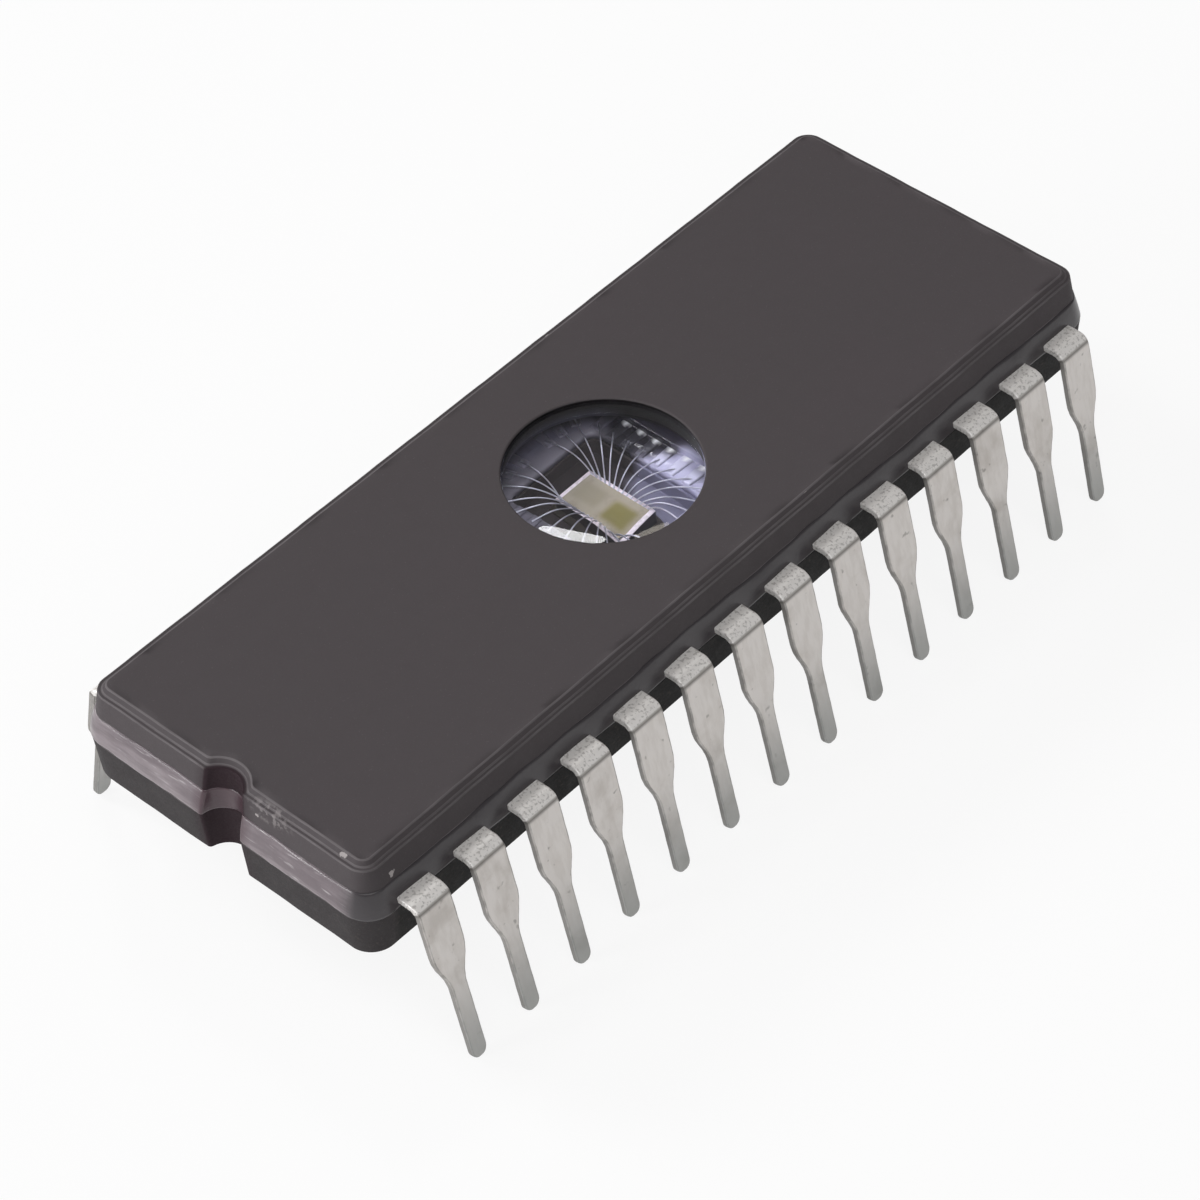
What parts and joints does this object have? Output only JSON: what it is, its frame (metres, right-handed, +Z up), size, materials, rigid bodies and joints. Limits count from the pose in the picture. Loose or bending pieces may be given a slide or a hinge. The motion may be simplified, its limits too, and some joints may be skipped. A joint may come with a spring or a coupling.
{
  "type": "eprom chip",
  "caption": "Erasable memory chip in a windowed ceramic dual in-line package: grey ceramic base and lid, round ultraviolet window over the die, splayed leads along both long sides.",
  "frame": {"origin": "centre of the footprint, on the plane where the lead tips stand", "axes": "+X along the package from the notched end to the far end, leads 1 to 14 on the -Y side, +Z up out of the lid"},
  "size_m": [0.0372, 0.018, 0.0085],
  "materials": {
    "ceramic": "matte pressed alumina, dark grey-brown",
    "seal_glass": "satin fused sealing glass, pinkish grey",
    "window_glass": "polished ultraviolet-clear glass",
    "tinned_lead": "satin tin plate on nickel-iron, light grey-beige",
    "die_attach": "dull metal-filled bonding glass",
    "silicon": "polished silicon with tan and olive fields",
    "bond_wire": "bright drawn wire"
  },
  "bodies": {
    "root": {"ceramic_base": "ceramic", "seal_glass": "seal_glass", "ceramic_lid": "ceramic", "uv_window": "window_glass", "die_attach": "die_attach", "memory_die": "silicon", "lead_01": "tinned_lead", "lead_02": "tinned_lead", "lead_03": "tinned_lead", "lead_04": "tinned_lead", "lead_05": "tinned_lead", "lead_06": "tinned_lead", "lead_07": "tinned_lead", "lead_08": "tinned_lead", "lead_09": "tinned_lead", "lead_10": "tinned_lead", "lead_11": "tinned_lead", "lead_12": "tinned_lead", "lead_13": "tinned_lead", "lead_14": "tinned_lead", "lead_15": "tinned_lead", "lead_16": "tinned_lead", "lead_17": "tinned_lead", "lead_18": "tinned_lead", "lead_19": "tinned_lead", "lead_20": "tinned_lead", "lead_21": "tinned_lead", "lead_22": "tinned_lead", "lead_23": "tinned_lead", "lead_24": "tinned_lead", "lead_25": "tinned_lead", "lead_26": "tinned_lead", "lead_27": "tinned_lead", "lead_28": "tinned_lead", "bond_wires_notch_end": "bond_wire", "bond_wires_far_end": "bond_wire"}
  },
  "joints": []
}
